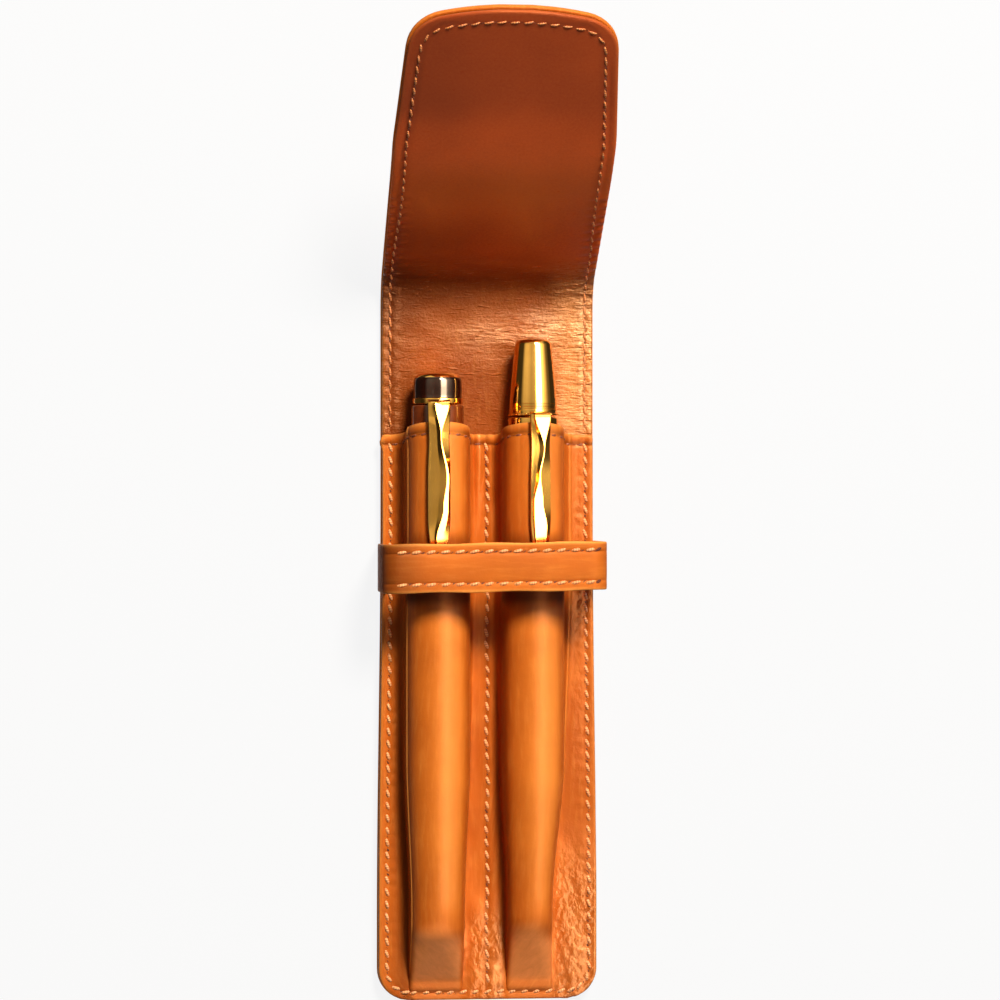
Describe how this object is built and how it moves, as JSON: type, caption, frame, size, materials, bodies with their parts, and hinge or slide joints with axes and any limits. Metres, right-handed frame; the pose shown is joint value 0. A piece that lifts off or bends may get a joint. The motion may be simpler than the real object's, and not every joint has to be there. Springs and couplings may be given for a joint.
{
  "type": "double pen case",
  "caption": "Moulded leather case for a pair of pens, with side-by-side stitched pockets, a keeper strap across the front and a long folding flap.",
  "frame": {"origin": "centre of the flat back face that the case lies on", "axes": "+X to the right across the case, +Y along the case from its closed end towards the flap, +Z out of the front, square to the back face"},
  "size_m": [0.055, 0.2382, 0.0729],
  "materials": {
    "tan_leather": "smooth glazed tan leather with fine wrinkles",
    "lining_leather": "fine-grained tan lining leather",
    "thread": "tone-on-tone sewing thread",
    "board": "grey fibre stiffener board",
    "polished_gold": "mirror-polished gold plate",
    "black_plastic": "gloss black grip",
    "nib_steel": "bright steel point",
    "ink_plastic": "ink cartridge"
  },
  "bodies": {
    "case": {"back_board": "board", "back_lining": "lining_leather", "back_outer_leather": "tan_leather", "centre_seam_thread": "thread", "edge_thread": "thread", "left_mouth_thread": "thread", "left_pocket_front": "tan_leather", "lining_thread_left": "thread", "lining_thread_right": "thread", "right_mouth_thread": "thread", "right_pocket_front": "tan_leather", "strap_backing": "lining_leather", "strap_outer_leather": "tan_leather", "strap_thread_lower": "thread", "strap_thread_upper": "thread"},
    "left_pen": {"left_pen_barrel": "polished_gold", "left_pen_cap": "polished_gold", "left_pen_cartridge": "ink_plastic", "left_pen_clip": "polished_gold", "left_pen_crown": "polished_gold", "left_pen_nib": "nib_steel", "left_pen_section": "black_plastic"},
    "right_pen": {"right_pen_barrel": "polished_gold", "right_pen_cap": "polished_gold", "right_pen_cartridge": "ink_plastic", "right_pen_clip": "polished_gold", "right_pen_crown": "polished_gold", "right_pen_nib": "nib_steel", "right_pen_ring": "polished_gold", "right_pen_section": "black_plastic"},
    "spine": {"fold_lining": "lining_leather", "fold_outer_leather": "tan_leather", "fold_thread_left": "thread", "fold_thread_right": "thread", "spine_lining": "lining_leather", "spine_outer_leather": "tan_leather", "spine_thread_left": "thread", "spine_thread_right": "thread"},
    "flap": {"top_fold_lining": "lining_leather", "top_fold_outer_leather": "tan_leather", "top_fold_thread_left": "thread", "top_fold_thread_right": "thread", "flap_board": "board", "flap_lining": "lining_leather", "flap_outer_leather": "tan_leather", "flap_thread": "thread"}
  },
  "joints": [
    {"name": "left_pen_slide", "type": "slide", "parent": "case", "child": "left_pen", "axis": [0, 1, 0], "range_m": [-0.003, 0.014]},
    {"name": "right_pen_slide", "type": "slide", "parent": "case", "child": "right_pen", "axis": [0, 1, 0], "range_m": [-0.001, 0.01]},
    {"name": "root_fold", "type": "hinge", "parent": "case", "child": "spine", "pos_m": [0, 0.08989, 0.00488], "axis": [1, 0, 0], "range_deg": [-44, 33], "deforming": ["fold_lining", "fold_outer_leather", "fold_thread_left", "fold_thread_right"]},
    {"name": "top_fold", "type": "hinge", "parent": "spine", "child": "flap", "pos_m": [0, 0.10078, 0.02301], "axis": [1, 0, 0], "range_deg": [-6, 106], "deforming": ["top_fold_lining", "top_fold_outer_leather", "top_fold_thread_left", "top_fold_thread_right"]}
  ]
}
